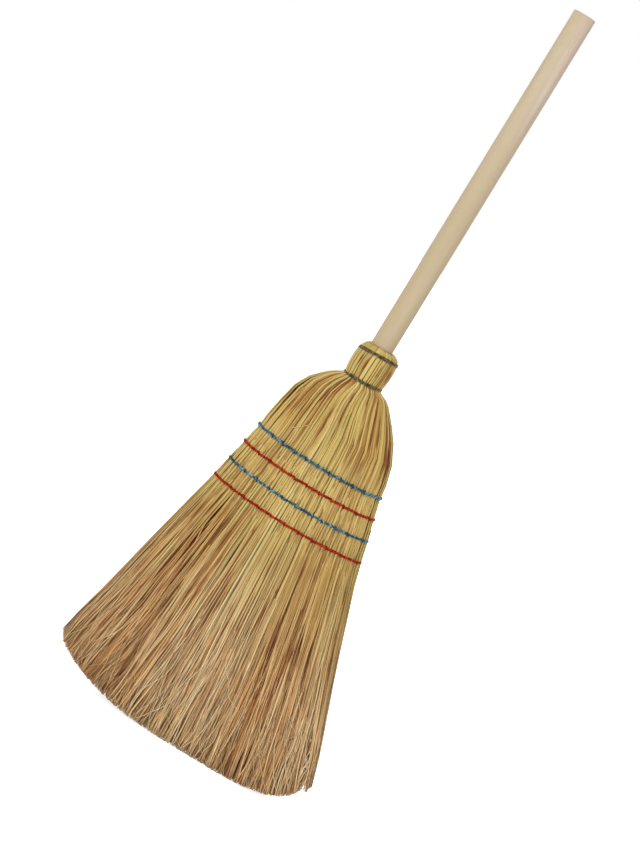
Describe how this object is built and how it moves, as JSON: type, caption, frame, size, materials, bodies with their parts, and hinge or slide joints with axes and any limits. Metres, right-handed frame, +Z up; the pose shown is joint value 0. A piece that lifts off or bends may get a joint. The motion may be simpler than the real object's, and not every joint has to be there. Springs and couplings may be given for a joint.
{
  "type": "straw broom",
  "caption": "Flat straw broom: hanks of straw bound by wire to a round wooden handle, sewn flat with rows of twine, fanning out to free bristles.",
  "frame": {"origin": "on the floor under the lowest bristle tips, midway across the sweeping edge and between front and back", "axes": "+Z up along the handle, -Y out of the front face of the head, +X to the right of someone who looks at that face"},
  "size_m": [0.2945, 0.0498, 0.833],
  "materials": {
    "straw_1": "dry pale straw, satin",
    "straw_2": "dry golden straw, satin",
    "straw_3": "dry straw, satin",
    "straw_4": "dry brown straw, satin",
    "straw_5": "dry yellow-green straw, satin",
    "inner_straw": "dry inner straw, matt",
    "beech": "sanded, unvarnished",
    "binding_wire": "oxidised soft steel wire",
    "nail_steel": "plain steel",
    "blue_twine": "twisted twine, matt",
    "blue_thread": "twisted thread, matt",
    "red_twine": "twisted twine, matt",
    "red_thread": "twisted thread, matt"
  },
  "bodies": {
    "root": {"front_hank_1": "straw_1", "front_hank_2": "straw_2", "front_hank_3": "straw_3", "front_hank_4": "straw_4", "front_hank_5": "straw_5", "front_hank_6": "straw_1", "front_hank_7": "straw_2", "front_hank_8": "straw_3", "front_hank_9": "straw_4", "front_hank_10": "straw_5", "back_hank_1": "straw_1", "back_hank_2": "straw_2", "back_hank_3": "straw_3", "back_hank_4": "straw_4", "back_hank_5": "straw_5", "back_hank_6": "straw_1", "back_hank_7": "straw_2", "back_hank_8": "straw_3", "back_hank_9": "straw_4", "back_hank_10": "straw_5", "side_hank_left": "straw_1", "side_hank_right": "straw_2", "core_bundle": "inner_straw", "handle": "beech", "collar_wire": "binding_wire", "throat_wire": "binding_wire", "seam_twine_1": "blue_twine", "seam_stitch_1": "blue_thread", "seam_twine_2": "red_twine", "seam_stitch_2": "red_thread", "seam_twine_3": "blue_twine", "seam_stitch_3": "blue_thread", "seam_twine_4": "red_twine", "seam_stitch_4": "red_thread", "upper_nail": "nail_steel", "lower_nail": "nail_steel"}
  },
  "joints": []
}
